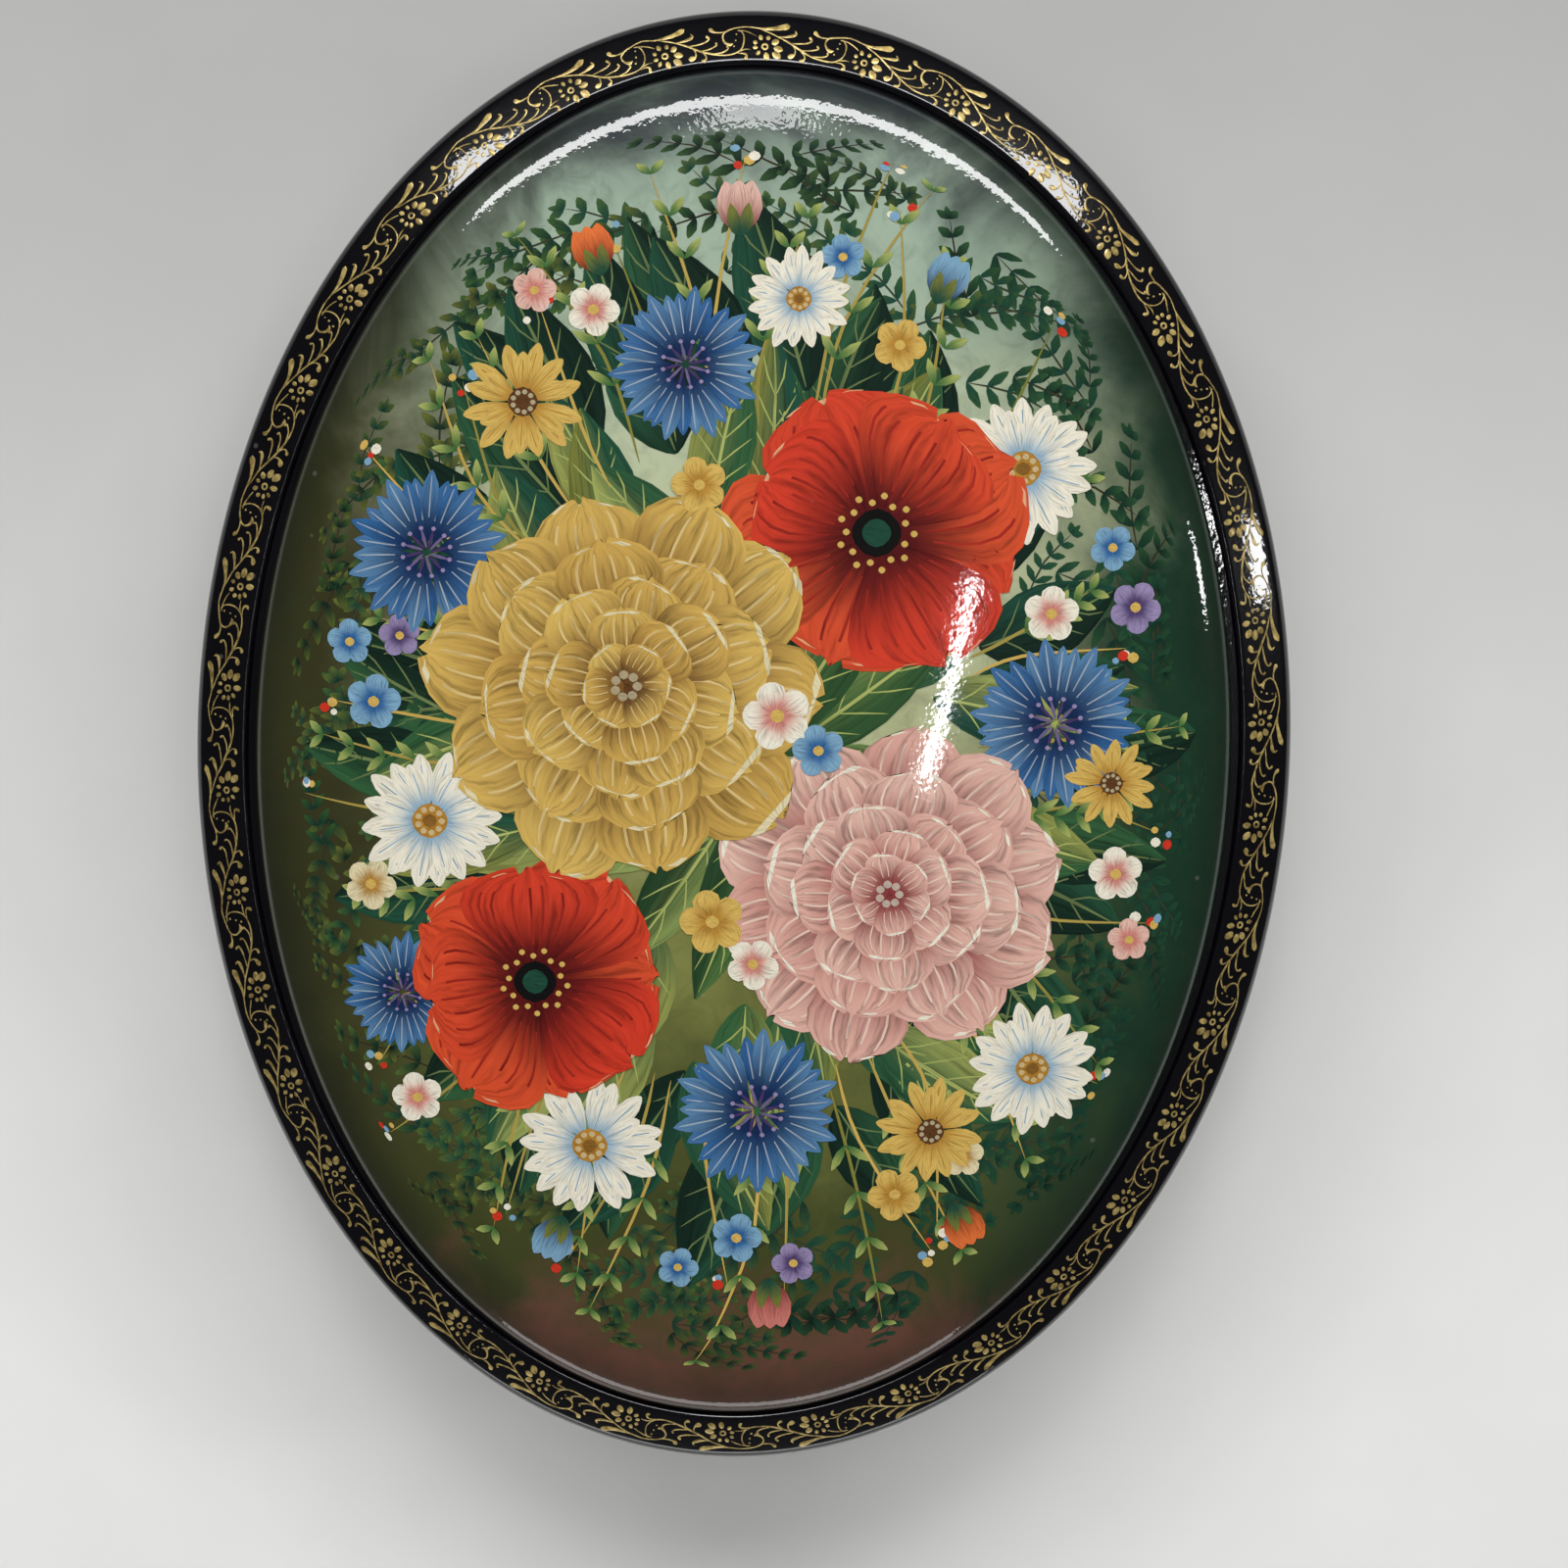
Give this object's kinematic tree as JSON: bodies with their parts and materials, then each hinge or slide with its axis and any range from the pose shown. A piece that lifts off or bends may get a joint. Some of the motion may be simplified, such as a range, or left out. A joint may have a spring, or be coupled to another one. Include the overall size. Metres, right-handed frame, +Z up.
{
  "type": "lacquer box",
  "caption": "Oval lacquered papier-mache box with an overhanging domed lid on a brass hinge, for keeping small things in.",
  "frame": {"origin": "on the ground under the middle of the base", "axes": "+Z up, +Y along the long axis towards the hinge, +X to the right with the hinge at the back"},
  "size_m": [0.15, 0.2, 0.0552],
  "materials": {
    "black_lacquer": "gloss",
    "red_lacquer": "gloss",
    "painted_lacquer": "gloss",
    "brass": "satin",
    "steel": "satin"
  },
  "bodies": {
    "box": {"base_board": "black_lacquer", "body_wall": "black_lacquer", "lip_ring": "red_lacquer", "body_hinge_leaf": "brass", "body_leaf_pins": "brass", "hinge_pin": "steel"},
    "lid": {"lid_rim": "black_lacquer", "lid_dome": "painted_lacquer", "lid_hinge_leaf": "brass", "lid_leaf_pins": "brass"}
  },
  "joints": [
    {"name": "lid_hinge", "type": "hinge", "parent": "box", "child": "lid", "pos_m": [0, 0.0955, 0.0398], "axis": [-1, 0, 0], "range_deg": [0, 102]}
  ]
}
